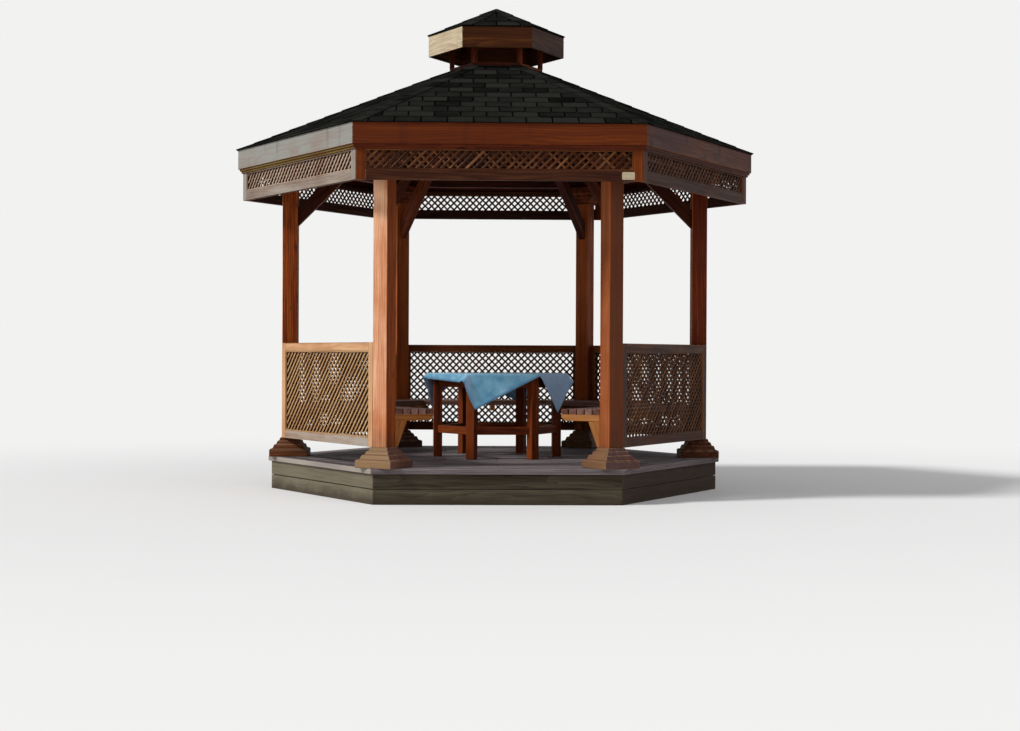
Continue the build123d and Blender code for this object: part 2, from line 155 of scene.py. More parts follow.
class Shader:
    """The nodes of one material or world.

    Attributes:
        tree: the node tree, empty at first.
    """

    def __init__(self, owner: Union[bpy.types.Material, bpy.types.World]) -> None:
        """Clears a material's or world's nodes."""
        owner.use_nodes = True
        self.tree = owner.node_tree
        self.tree.nodes.clear()

    def add(self, kind: str, inputs: Optional[dict] = None, stops: Sequence[tuple[float, str]] = (),
            **settings: object) -> bpy.types.Node:
        """Adds a node with its settings and links.

        Args:
            kind: its Blender type name.
            inputs: each input's name or number, with the socket, number or hex colour that it takes.
            stops: a colour ramp's places and hex colours.
            settings: the node's own settings by name.

        Returns:
            The new node.
        """
        made = self.tree.nodes.new(kind)
        for name, value in settings.items():
            setattr(made, name, value)
        for index, (place, code) in enumerate(stops):
            ramp = made.color_ramp.elements
            stop = ramp[index] if index < 2 else ramp.new(place)
            stop.position, stop.color = place, linear(code)
        for key, value in (inputs or {}).items():
            if isinstance(value, Socket):
                self.tree.links.new(value, made.inputs[key])
            else:
                made.inputs[key].default_value = linear(value) if isinstance(value, str) else value
        return made

    def read(self, name: str, part: str = "Fac") -> Socket:
        """Reads one of the mesh's own attributes."""
        return self.add("ShaderNodeAttribute", attribute_name=name).outputs[part]

    def math(self, operation: str, *values: Value, **settings: object) -> Socket:
        """Works on numbers."""
        return self.add("ShaderNodeMath", dict(enumerate(values)), operation=operation, **settings).outputs[0]

    def vector(self, operation: str, *values: Value) -> Socket:
        """Works on vectors; a dot product or a length is a number."""
        done = self.add("ShaderNodeVectorMath", dict(enumerate(values)), operation=operation)
        return done.outputs["Value" if operation in ("DOT_PRODUCT", "LENGTH") else "Vector"]

    def span(self, value: Socket, start: float, end: float, low: float, high: float, ease: bool = False) -> Socket:
        """Maps what lies between start and end to between low and high, in a straight line or eased."""
        return self.add("ShaderNodeMapRange", {"Value": value, 1: start, 2: end, 3: low, 4: high},
                        interpolation_type="SMOOTHSTEP" if ease else "LINEAR").outputs[0]

    def mix(self, share: Socket, under: Value, over: Value) -> Socket:
        """Lays a share of one colour over another."""
        return self.add("ShaderNodeMix", {0: share, 6: under, 7: over}, data_type="RGBA").outputs[2]

    def ramp(self, value: Socket, *stops: tuple[float, str]) -> Socket:
        """Turns a number to a colour; the ramp's two ends come first."""
        return self.add("ShaderNodeValToRGB", {"Fac": value}, stops).outputs[0]

    def scaled(self, place: Socket, scale: Sequence[float]) -> Socket:
        """Scales coordinates by axis."""
        return self.add("ShaderNodeMapping", {"Vector": place, "Scale": scale}).outputs[0]

    def noise(self, place: Socket, scale: float, detail: float, part: str = "Fac") -> Socket:
        """Adds cloudy noise."""
        return self.add("ShaderNodeTexNoise", {"Vector": place, "Scale": scale, "Detail": detail}).outputs[part]

    def object_place(self) -> Socket:
        """The place on the pavilion, in metres."""
        return self.add("ShaderNodeTexCoord").outputs["Object"]

    def bump(self, strength: float, depth: float, height: Socket) -> Socket:
        """Raises fine relief of a depth in metres."""
        return self.add("ShaderNodeBump", {"Strength": strength, "Distance": depth, "Height": height}).outputs[0]

    def skin(self, inputs: dict) -> None:
        """Ends a material with its surface."""
        self.add("ShaderNodeOutputMaterial", {0: self.add("ShaderNodeBsdfPrincipled", inputs).outputs[0]})

    def seen(self) -> Socket:
        """Is 1 for what the camera sees, straight or by a mirror or glass, and 0 for what lights the object."""
        path = self.add("ShaderNodeLightPath").outputs
        straight = self.math("MAXIMUM", path["Is Camera Ray"], path["Is Glossy Ray"])
        return self.math("MAXIMUM", straight, path["Is Transmission Ray"])

    def split(self, share: Socket, lit: bpy.types.Node, shown: bpy.types.Node, output: str) -> None:
        """Ends a material or world with one surface for light and another for the eye."""
        both = self.add("ShaderNodeMixShader", {0: share, 1: lit.outputs[0], 2: shown.outputs[0]})
        self.add(output, {0: both.outputs[0]})


@dataclass(frozen=True)
class Finish:
    """What a piece is made of.

    Attributes:
        name: the material's name.
    """

    name: str

    def material(self) -> bpy.types.Material:
        """Finds the material, or builds it the first time."""
        found = bpy.data.materials.get(self.name)
        if found:
            return found
        made = bpy.data.materials.new(self.name)
        self.wire(Shader(made))
        return made

    def wire(self, s: Shader) -> None:
        """Adds the finish's nodes.

        Args:
            s: the material's empty shader.
        """
        raise NotImplementedError


@dataclass(frozen=True)
class Softwood(Finish):
    """Planed pine or spruce boards, stained or left to go grey outdoors.

    Gives the eye long streaks and arched growth rings, knots, a different tone from board to board, hairline
    drying checks, and a satin to matt skin.

    Attributes:
        deep: colour of latewood and of the darkest streaks.
        body: the board's main colour.
        pale: colour of the lightest streaks.
        faded: colour where sun has worn the finish, and of painted sunlight on the faces that face it.
        fade: how much of that painted sunlight and fading shows on surfaces that face the sun.
        inward: how far that reaches on faces turned into the pavilion, 0 to 1.
        bleach: how late bare wood shows as the stain thins, as a power.
        mossy: colour of painted shade, where the finish also stays damp.
        damp: how much of that painted shade and damp shows on surfaces turned away from the sun.
        contrast: strength of the grain.
        spread: difference in tone between boards.
        checks: how many drying checks show, 0 to 1.
        knots: how dark knots are, 0 to 1.
        splash: height in metres up to which the wood is darker towards the bottom.
        drips: how dark the runs of rainwater are on faded wood, 0 to 1.
        rubbed: colour of the worn edges, where it isn't the palest streaks'.
        gloss: roughness at its smoothest.
    """

    deep: str
    body: str
    pale: str
    faded: str = "#b9a48e"
    fade: float = 0.0
    inward: float = 0.0
    bleach: float = 1.6
    mossy: str = "#352925"
    damp: float = 0.8
    contrast: float = 0.6
    spread: float = 0.45
    checks: float = 0.5
    knots: float = 0.8
    splash: float = 0.0
    drips: float = 0.0
    rubbed: str = ""
    gloss: float = 0.5

    def wire(self, s: Shader) -> None:
        """Draws each board from its own "grain" place in the log and its "tone".

        Args:
            s: the material's empty shader.
        """
        log = s.read("grain", "Vector")
        # The pith wanders 40 mm in about a metre, which draws arches where a ring leaves the face.
        drift = s.noise(s.scaled(log, (1.1, 2.5, 2.5)), 1.0, 1.5, "Color")
        bent = s.vector("MULTIPLY_ADD", drift, (0.0, 0.11, 0.11), s.scaled(log, (0.05, 1.0, 1.0)))
        rings = s.add("ShaderNodeTexWave", {"Vector": bent, "Scale": WAVE_SPACING / RING, "Distortion": 1.2,
                                            "Detail": 2.0, "Detail Scale": 3.0},
                      wave_type="RINGS", rings_direction="X", wave_profile="SAW")
        # Streaks of sapwood and stain, 50 mm across and a metre long, with fibres 8 mm across in them.
        streak = s.noise(s.scaled(log, (0.9, 20.0, 20.0)), 1.0, 2.0)
        fibre = s.noise(s.scaled(log, (4.0, 125.0, 125.0)), 1.0, 3.0)
        figure = s.math("MULTIPLY", rings.outputs["Fac"], RINGS)
        figure = s.math("MULTIPLY_ADD", streak, STREAKS, figure)
        figure = s.math("MULTIPLY_ADD", fibre, FIBRES, figure)
        grainy = s.span(figure, *FIGURE, 0.5 - self.contrast / 2, 0.5 + self.contrast / 2)
        toned = s.math("MULTIPLY_ADD", s.read("tone"), self.spread, grainy)
        shade = s.math("SUBTRACT", toned, self.spread / 2)
        colour = s.ramp(shade, (0.05, self.deep), (0.95, self.pale), (0.5, self.body))
        # Knots 25 to 40 mm across, one or two to a metre.
        knot = s.add("ShaderNodeTexVoronoi", {"Vector": s.scaled(log, (2.6, 5.5, 5.5)), "Scale": 1.0}).outputs
        core = s.span(knot["Distance"], 0.16, 0.06, 0.0, 1.0, ease=True)
        core = s.math("MULTIPLY", core, s.math("GREATER_THAN", knot["Color"], 0.45))
        colour = s.mix(s.math("MULTIPLY", core, self.knots), colour, self.deep)
        # Drying checks, hairlines that run with the grain.
        crack = s.noise(s.scaled(log, (1.3, 34.0, 34.0)), 1.0, 0.0)
        line = s.span(s.math("ABSOLUTE", s.math("SUBTRACT", crack, 0.5)), 0.004, 0.016, 1.0, 0.0)
        check = s.math("MULTIPLY", line, s.span(streak, 0.47, 0.6, 0.0, self.checks))
        colour = s.mix(check, colour, self.deep)
        # Handling and planing have thinned the stain on the softened edges.
        rubbed = s.math("MULTIPLY", s.span(streak, 0.4, 0.65, 0.25, 0.8), s.read("worn"))
        colour = s.mix(rubbed, colour, self.rubbed or self.pale)
        # Painted shade darkens the boards that lie behind others.
        colour = s.mix(s.math("MULTIPLY", s.read("shelter"), 0.55), colour, self.deep)
        if self.fade:
            colour = self.weathered(s, colour, figure)
        if self.splash:
            # Darker towards the bottom, up to an uneven line.
            place = s.object_place()
            height = s.add("ShaderNodeSeparateXYZ", {0: place}).outputs["Z"]
            rise = s.math("MULTIPLY_ADD", s.noise(place, 6.0, 4.0), -self.splash, height)
            darkened_below = s.span(rise, self.splash * 0.5, -self.splash * 0.4, 0.0, 0.75, ease=True)
            colour = s.mix(darkened_below, colour, FOOT_DARK)
        relief = s.math("MULTIPLY_ADD", check, -0.8, figure)
        s.skin({"Base Color": colour, "Roughness": s.span(figure, *FIGURE, self.gloss + 0.22, self.gloss),
                "Normal": s.bump(0.45, 0.0012, relief), "IOR": 1.48, "Specular IOR Level": 0.1})

    def weathered(self, s: Shader, colour: Socket, figure: Socket) -> Socket:
        """Paints sunlight on the faces that the sun reaches and fades them, paints shade on those that it leaves and
        dulls them, and draws the runs of rainwater.

        Args:
            s: the material's shader.
            colour: the stained wood.
            figure: the grain's pattern.

        Returns:
            The wood, worn by weather, with painted sunlight and shade.
        """
        place = s.object_place()
        facing = s.add("ShaderNodeNewGeometry").outputs["Normal"]
        outward = s.vector("NORMALIZE", s.vector("MULTIPLY", place, (1.0, 1.0, 0.0)))
        # Only outward faces, and not those in painted shade behind other boards, take the painted sunlight and shade.
        outer = s.math("SUBTRACT", s.vector("DOT_PRODUCT", outward, facing), s.read("shelter"))
        open_air = s.span(outer, 0.4, 0.85, self.inward, 1.0, ease=True)
        patchy = s.span(s.noise(place, 2.2, 3.0), 0.3, 0.62, 0.72, 1.0)
        reached = s.math("MULTIPLY", open_air, patchy)
        sunny, dull = (
            s.math("MULTIPLY", reached,
                   s.span(s.vector("DOT_PRODUCT", facing, way), start, 0.95, 0.0, most, ease=True))
            for way, start, most in ((SUNWARD, 0.55, self.fade), (SHADE_SIDE, 0.5, self.damp)))
        # Latewood and dark streaks hold their stain longer.
        share = s.math("MULTIPLY", sunny, s.span(figure, 0.42, 0.7, 0.78, 1.2))
        # Painted sunlight and fading: the stain first thins to its palest, and then the bare wood shows.
        colour = s.mix(s.math("MULTIPLY", share, 1.3, use_clamp=True), colour, self.pale)
        colour = s.mix(s.math("POWER", share, self.bleach), colour, self.faded)
        # Painted shade: the faces turned the other way are drawn dull and dark, and also stay damp.
        colour = s.mix(dull, colour, self.mossy)
        if self.drips:
            # Rainwater from the shingles' edge has run down in dark streaks 30 to 60 mm wide, most on the side in
            # painted shade.
            log = s.scaled(s.read("grain", "Vector"), (8.0, 1.2, 1.2))
            run = s.span(s.noise(log, 1.0, 2.0), 0.57, 0.7, 0.0, self.drips, ease=True)
            run = s.math("MULTIPLY", run, s.math("MULTIPLY_ADD", dull, 0.9, 0.25))
            colour = s.mix(run, colour, SOAKED)
        return colour


@dataclass(frozen=True)
class MineralShingle(Finish):
    """Asphalt felt tabs faced with crushed slate.

    Gives the eye a near-black matt roof with a speckle of grey grit and tabs that differ a little in tone.

    Attributes:
        dark: colour of the darkest tabs and grit.
        light: colour of the lightest tabs and grit.
    """

    dark: str
    light: str

    def wire(self, s: Shader) -> None:
        """Draws each tab from its own "grain" place and "tone"."""
        tab = s.read("grain", "Vector")
        # Grit is 1 to 2 mm across; 5 mm here, so that it shows.
        grit = s.add("ShaderNodeTexVoronoi", {"Vector": tab, "Scale": 200.0}).outputs
        speck = s.math("MULTIPLY", grit["Color"], 0.4)
        speck = s.math("MULTIPLY_ADD", s.noise(tab, 7.0, 4.0), 0.5, speck)
        speck = s.math("MULTIPLY_ADD", s.read("tone"), 0.65, speck)
        # Painted shade: what shows in the slots lies deep and is drawn darker.
        speck = s.math("SUBTRACT", speck, s.read("shelter"))
        s.skin({"Base Color": s.ramp(speck, (0.3, self.dark), (1.0, self.light)), "Roughness": 0.95,
                "Normal": s.bump(0.5, 0.0015, grit["Distance"]), "Specular IOR Level": 0.0})


@dataclass(frozen=True)
class PlainWeave(Finish):
    """Plain-woven cotton, dyed one colour and hemmed with a tighter band.

    Gives the eye a soft matt cloth with a fine crossing of threads, a slightly darker edge, a top drawn paler as
    painted light, and a painted sky reflection on the right.

    Attributes:
        thread: colour of the cloth.
        shade: colour between threads and in the hem.
        bloom: colour of the washed-out patches.
        bleached: painted light, the colour of what lies flat on the table.
        violet: colour of what hangs on the right, a painted reflection of sky light.
    """

    thread: str
    shade: str
    bloom: str
    bleached: str
    violet: str

    def wire(self, s: Shader) -> None:
        """Weaves the cloth from its flat "grain" place in metres and its hem, the "tone"."""
        flat = s.read("grain", "Vector")
        threads = {"Vector": flat, "Scale": WAVE_SPACING / THREAD, "Distortion": 0.4}
        warp, weft = (s.add("ShaderNodeTexWave", threads, bands_direction=axis).outputs["Fac"] for axis in "XY")
        cross = s.math("MULTIPLY", warp, weft)
        woven = s.math("MULTIPLY_ADD", cross, 0.35, s.noise(flat, 9.0, 5.0))
        colour = s.ramp(woven, (0.3, self.shade), (0.85, self.bloom), (0.6, self.thread))
        colour = s.mix(s.math("MULTIPLY", s.read("tone"), 0.55), colour, self.shade)
        facing = s.add("ShaderNodeSeparateXYZ", {0: s.add("ShaderNodeNewGeometry").outputs["Normal"]}).outputs
        # Painted sky reflection: what hangs on the right takes a bluer tint.
        colour = s.mix(s.span(facing["X"], 0.1, 0.8, 0.0, 0.75, ease=True), colour, self.violet)
        # Painted light: what lies flat on the table is drawn paler, as if lit from above.
        colour = s.mix(s.span(facing["Z"], 0.6, 0.98, 0.0, 0.7, ease=True), colour, self.bleached)
        s.skin({"Base Color": colour, "Roughness": 0.82, "Normal": s.bump(0.25, 0.0008, cross), "Sheen Weight": 0.2})


@dataclass(frozen=True)
class ZincSteel(Finish):
    """Zinc-plated steel screws, gone dull outdoors.

    Gives the eye small dark metal points with a faint shine.

    Attributes:
        metal: the plating's colour.
        stain: colour where it has worn off.
    """

    metal: str
    stain: str

    def wire(self, s: Shader) -> None:
        """Spots the plating."""
        spots = s.noise(s.object_place(), 90.0, 3.0)
        s.skin({"Base Color": s.ramp(spots, (0.35, self.stain), (0.6, self.metal)),
                "Roughness": s.span(spots, 0.3, 0.7, 0.65, 0.4), "Metallic": 0.8})


POST_STAIN = Softwood("stained_pine_posts", "#300b02", "#5e2007", "#bc5f1e", "#f6cdaa", fade=0.95, inward=0.4,
                      bleach=3.0, mossy="#6a452f", damp=0.5, contrast=0.4, checks=0.9, splash=0.75)
ARM_STAIN = Softwood("stained_pine_bench_arms", "#2c1003", "#6b3711", "#bf7a38", "#f0cda4", fade=0.95, inward=0.4,
                     bleach=3.0, mossy="#6a452f", damp=0.5, contrast=0.4, checks=0.9)
RAIL_STAIN = Softwood("stained_pine_rails", "#361609", "#683416", "#995f33", "#d6a87d", fade=0.9, damp=0.9,
                      contrast=0.5, checks=0.4)
GREY_RAIL = Softwood("greyed_pine_foot_rails", "#361609", "#683416", "#93613b", "#a79d91", fade=0.95, damp=0.9,
                     contrast=0.5)
LATH_STAIN = Softwood("stained_pine_laths", "#2a1208", "#643b20", "#8f5f35", "#b8966a", fade=0.95, damp=1.0,
                      contrast=1.0, spread=0.6, knots=0.4)
FASCIA_STAIN = Softwood("stained_pine_fascia", "#331005", "#5a2408", "#85440f", "#91918a", bleach=0.8, fade=1.0,
                        mossy="#3b2f2f", damp=0.9, contrast=0.42, checks=0.3, knots=0.7, drips=0.85)
FRIEZE_STAIN = Softwood("stained_pine_frieze", "#190b05", "#35180b", "#5f371e", "#9c9084", fade=0.95)
NET_STAIN = Softwood("stained_pine_frieze_laths", "#1e0b03", "#4c240e", "#82532e", "#b5a391", fade=1.0, damp=1.0,
                     contrast=1.0, spread=0.6, knots=0.3)
MOULDING_STAIN = Softwood("stained_pine_moulding", "#230a04", "#47180a", "#652b12", "#766530", fade=1.0)
LANTERN_STAIN = Softwood("stained_pine_lantern", "#220d03", "#431f07", "#7c4819", "#d4c3a4", fade=1.0, contrast=0.5,
                         drips=0.6)
INNER_STAIN = Softwood("stained_pine_inside", "#1f0802", "#441706", "#783713", spread=0.4, checks=0.3)
SEAT_STAIN = Softwood("stained_pine_slats", "#3a2119", "#6c4a3e", "#94736a", spread=0.5, contrast=0.7)
# The table stands under the roof: its faded colour is painted sunlight on the faces turned to the front left.
TABLE_STAIN = Softwood("stained_pine_table", "#290b02", "#5a2208", "#8c4216", "#ab5322", fade=0.38, inward=1.0,
                       damp=0.0, spread=0.35, gloss=0.42)
CEILING_STAIN = Softwood("stained_pine_ceiling", "#230904", "#451909", "#632e15", spread=0.6, checks=0.2)
FOOT_STAIN = Softwood("stained_pine_feet", "#2c1207", "#552c17", "#7c5033", "#97805f", fade=0.9, inward=0.55,
                      mossy="#5a494b", damp=0.75, spread=0.5, checks=0.7, rubbed="#8c7663")
GREY_BOARDS = Softwood("greyed_pine_base", "#282119", "#474033", "#645b4b", "#766e5d", fade=0.85, damp=0.95,
                       spread=0.4, checks=1.0, splash=0.12, gloss=0.62)
GREY_DECK = Softwood("greyed_pine_deck", "#463e3f", "#6a6162", "#8b8182", "#a59c8d", fade=0.8, damp=0.3, contrast=0.7,
                     spread=0.55, checks=1.0, knots=0.6, gloss=0.6)
PLATE_PAINT = Softwood("pale_painted_plywood", "#8f8267", "#b3a587", "#c9bda3", contrast=0.35, spread=0.0,
                       checks=0.0, knots=0.0)
SHINGLES = MineralShingle("slate_grit_felt", "#080807", "#2a2a27")
COTTON = PlainWeave("plain_woven_cotton", "#75b2d0", "#4a88ae", "#9ccce4", "#b7d6e6", "#a9c2e8")
ZINC = ZincSteel("dulled_zinc_steel", "#6f6a62", "#4a3f35")


def heading(degrees: float) -> Point:
    """The direction that a plan angle points in."""
    angle = math.radians(degrees)
    return math.cos(angle), math.sin(angle)


def oblong(x0: float, y0: float, x1: float, y1: float) -> list[Point]:
    """The corners of a rectangle."""
    return [(x0, y0), (x1, y0), (x1, y1), (x0, y1)]


def clipped(outline: Sequence[Point], lines: Sequence[tuple[float, float, float]]) -> list[Point]:
    """Cuts a convex outline by straight lines.

    Args:
        outline: the corners in order.
        lines: (a, b, c) for each line, which keeps a * x + b * y <= c.

    Returns:
        The corners of what is left, or an empty list.
    """
    kept = list(outline)
    for a, b, c in lines:
        cut: list[Point] = []
        for p, q in zip(kept, kept[1:] + kept[:1]):
            dp, dq = a * p[0] + b * p[1] - c, a * q[0] + b * q[1] - c
            if dp <= 0:
                cut.append(p)
            if dp * dq < 0:
                t = dp / (dp - dq)
                cut.append((p[0] + t * (q[0] - p[0]), p[1] + t * (q[1] - p[1])))
        kept = cut
    return kept


def area(outline: Sequence[Point]) -> float:
    """An outline's area, in the square of its unit."""
    return abs(sum(p[0] * q[1] - q[0] * p[1] for p, q in zip(outline, list(outline[1:]) + [outline[0]]))) / 2


def stand(name: str, data: bpy.types.ID) -> bpy.types.Object:
    """Puts a new object with this data in the scene."""
    made = bpy.data.objects.new(name, data)
    bpy.context.scene.collection.objects.link(made)
    return made


def meshed(work: bmesh.types.BMesh, name: str) -> bpy.types.Mesh:
    """Ends the work on a shape and keeps it as a mesh of this name."""
    mesh = bpy.data.meshes.new(name)
    work.to_mesh(mesh)
    work.free()
    return mesh


def deliver(mesh: bpy.types.Mesh, finish: Finish, slot: Slot, replaces: Sequence[str]) -> bpy.types.Object:
    """Puts a finished mesh on the pavilion, as a piece of the mesh's name.

    Args:
        mesh: the piece's mesh, already in place.
        finish: what it is made of.
        slot: the record's material slot; not used.
        replaces: the CAD nodes that it stands for.

    Returns:
        The new object.
    """
    mesh.materials.append(finish.material())
    piece = stand(mesh.name, mesh)
    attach(piece, "root")
    if replaces:
        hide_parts(*replaces)
    LOG.info("%s: %d faces", mesh.name, len(mesh.polygons))
    return piece


@dataclass
class Joinery:
    """Gathers solid boards into one piece, softens their edges and gives each its own place in the log.

    Attributes:
        name: the finished piece's name.
        finish: what the boards are made of.
        slot: the record's material slot.
        arris: width of the softened edges, in metres.
        work: the boards so far.
    """

    name: str
    finish: Finish
    slot: Slot
    arris: float
    work: bmesh.types.BMesh = field(default_factory=bmesh.new)

    def carry(self, frame: dict, name: str) -> None:
        """Takes over the solids of one of the frame's CAD nodes."""
        self.work.from_mesh(frame["nodes"][name].data)
        bmesh.ops.remove_doubles(self.work, verts=self.work.verts, dist=WELD)
        bmesh.ops.dissolve_limit(self.work, angle_limit=FLAT_ANGLE, verts=self.work.verts, edges=self.work.edges)

    def slab(self, outline: Sequence[Point], place: Matrix, low: float, high: float, shelter: float = 0.0) -> None:
        """Adds a flat board, unless it is a mere scrap.

        Args:
            outline: its corners in its own plane.
            place: where that plane is.
            low: its underside above the plane.
            high: its top above the plane.
            shelter: how much painted shade the boards in front put on it, 0 to 1.
        """
        if len(outline) > 2 and area(outline) >= SCRAP:
            self.hull([(*corner, low, high) for corner in outline], place, shelter)

    def hull(self, corners: Sequence[Corner], place: Matrix, shelter: float = 0.0) -> None:
        """Adds a solid with a foot and a head of its own at each corner.

        Args:
            corners: x and y in its own plane, and the foot and the head above it.
            place: where that plane is.
            shelter: how much painted shade the boards in front put on it, 0 to 1.
        """
        layers = self.work.verts.layers.float
        kept = layers.get("shelter") or layers.new("shelter")
        low, high = ([self.work.verts.new(place @ Vector((*c[:2], c[end]))) for c in corners] for end in (2, 3))
        for vert in low + high:
            vert[kept] = shelter
        self.work.faces.new(list(reversed(low)))
        self.work.faces.new(high)
        for i in range(len(low)):
            j = (i + 1) % len(low)
            self.work.faces.new([low[i], low[j], high[j], high[i]])

    def boards(self) -> Iterator[list[bmesh.types.BMVert]]:
        """Gives the corners of each board in turn."""
        seen: set[bmesh.types.BMVert] = set()
        for first in self.work.verts:
            if first in seen:
                continue
            seen.add(first)
            board, queue = [], [first]
            while queue:
                vert = queue.pop()
                board.append(vert)
                for edge in vert.link_edges:
                    other = edge.other_vert(vert)
                    if other not in seen:
                        seen.add(other)
                        queue.append(other)
            yield board

    def season(self) -> None:
        """Gives every board a grain direction, a place in the log and a tone."""
        rng = random.Random(self.name)
        layers = self.work.verts.layers
        grain, tone = layers.float_vector.new("grain"), layers.float.new("tone")
        for board in self.boards():
            longest = max((e for v in board for e in v.link_edges), key=lambda e: e.calc_length())
            along = (longest.verts[1].co - longest.verts[0].co).normalized()
            faces = {f for v in board for f in v.link_faces}
            wide = max(faces, key=lambda f: f.calc_area() * (1 - abs(f.normal.dot(along))))
            through = (wide.normal - along * wide.normal.dot(along)).normalized()
            across = through.cross(along)
            centre = sum((v.co for v in board), Vector()) / len(board)
            # Boards are sawn up to 90 mm to either side of the pith and 50 to 160 mm out from it.
            shift = Vector((rng.uniform(0, 40), rng.uniform(-0.09, 0.09), rng.uniform(0.05, 0.16)))
            shade = rng.random()
            for vert in board:
                at = vert.co - centre
                vert[grain] = Vector((at.dot(along), at.dot(across), at.dot(through))) + shift
                vert[tone] = shade

    def finished(self, *replaces: str) -> None:
        """Softens the edges and hands the piece over to the frame.

        Args:
            replaces: the CAD nodes that it stands for.
        """
        work = self.work
        bmesh.ops.recalc_face_normals(work, faces=work.faces)
        worn = work.faces.layers.float.new("worn")
        if self.arris:
            sharp = [e for e in work.edges if len(e.link_faces) == 2 and e.calc_face_angle(0) > SHARP_ANGLE]
            cut = bmesh.ops.bevel(work, geom=sharp, offset=self.arris, offset_type="OFFSET", segments=1, profile=0.5,
                                  affect="EDGES", clamp_overlap=True)
            for face in cut["faces"]:
                face[worn] = 1.0
        self.season()
        for face in work.faces:
            face.smooth = False
        mesh = meshed(work, self.name)
        if "custom_normal" in mesh.attributes:
            mesh.attributes.remove(mesh.attributes["custom_normal"])
        deliver(mesh, self.finish, self.slot, replaces)


class Timberwork:
    """The boards whose shapes come straight from the frame: posts, rails, beams, rafters, benches and table.

    Attributes:
        PLAN: the finish, the slot, the softened edges' width and the CAD nodes of like boards.
    """

    PLAN = (
        (POST_STAIN, Slot.TIMBER, 0.004, "posts"),
        (FOOT_STAIN, Slot.TIMBER, 0.003, "post_plinths"),
        (INNER_STAIN, Slot.TIMBER, 0.003, "post_capitals knee_braces"),
        (GREY_BOARDS, Slot.BOARDS, 0.003, "base_lower_boards base_upper_boards rim_joists floor_joists"),
        (GREY_DECK, Slot.BOARDS, 0.003, "deck_border"),
        (RAIL_STAIN, Slot.TIMBER, 0.002, "balustrade_stiles balustrade_head_rails"),
        (GREY_RAIL, Slot.TIMBER, 0.002, "balustrade_foot_rails"),
        (INNER_STAIN, Slot.ROOF, 0.003, "ring_beams hip_rafters common_rafters"),
        (FASCIA_STAIN, Slot.TIMBER, 0.002, "fascia_boards frieze_stiles"),
        (MOULDING_STAIN, Slot.TIMBER, 0.002, "eave_moulding"),
        (FRIEZE_STAIN, Slot.TIMBER, 0.002, "frieze_foot_rails frieze_head_rails"),
        (INNER_STAIN, Slot.ROOF, 0.002, "lantern_curb lantern_posts lantern_plates lantern_rafters lantern_boss"),
        (LANTERN_STAIN, Slot.ROOF, 0.002, "lantern_fascia"),
        (SEAT_STAIN, Slot.TIMBER, 0.003, "bench_slats"),
        (ARM_STAIN, Slot.TIMBER, 0.003, "bench_arms bench_struts"),
        (TABLE_STAIN, Slot.TIMBER, 0.003, "table_top table_legs table_apron table_stretchers"),
    )

    def build(self, frame: dict) -> None:
        for finish, slot, arris, names in self.PLAN:
            for name in names.split():
                piece = Joinery(f"{name}_wood", finish, slot, arris)
                piece.carry(frame, name)
                piece.finished(name)


@dataclass
class Deck:
    """The floor inside the border: boards that run across the entrance, with open joints.

    Attributes:
        apothem: from the axis to the border's inner edge.
        top: the boards' top.
        thick: their thickness.
        board: a board's width.
        joint: the open joint between boards.
        joist: spacing of the joists, where boards are butted and screwed.
        butt: half the gap between butted ends.
        screw: a screw head's radius.
    """

    apothem: float = 1.6784
    top: float = 0.300
    thick: float = 0.028
    board: float = 0.118
    joint: float = 0.006
    joist: float = 0.48
    butt: float = 0.001
    screw: float = 0.0045

    def build(self) -> None:
        """Lays and screws the floor."""
        floor = Joinery("deck_floor_boards", GREY_DECK, Slot.BOARDS, 0.003)
        screws = Joinery("deck_screws", ZINC, Slot.BOARDS, 0.0)
        head = [(self.screw * x, self.screw * y) for x, y in map(heading, range(0, 360, 45))]
        rng = random.Random(11)
        edges = [(*heading(side.value), self.apothem - self.joint) for side in Side]
        pitch = self.board + self.joint
        count = math.ceil(2 * self.apothem / pitch)
        for row in range(count):
            y = -count * pitch / 2 + row * pitch
            end = rng.choice((-2, -1, 0, 1, 2)) * self.joist
            for left, right in ((-BEYOND, end - self.butt), (end + self.butt, BEYOND)):
                height = self.top - rng.uniform(0, 0.0015)
                floor.slab(clipped(oblong(left, y, right, y + self.board), edges),
                           Matrix.Translation((0, 0, height)), -self.thick, 0)
            for joist in range(-3, 4):
                for share in (0.25, 0.75):
                    x = joist * self.joist + rng.uniform(-0.006, 0.006) + 0.012
                    across = y + self.board * share + rng.uniform(-0.004, 0.004)
                    if all(a * x + b * across < c - 0.02 for a, b, c in edges):
                        screws.slab(head, Matrix.Translation((x, across, self.top)), -0.002, 0.0004)
        floor.finished("deck_floor")
        screws.finished()


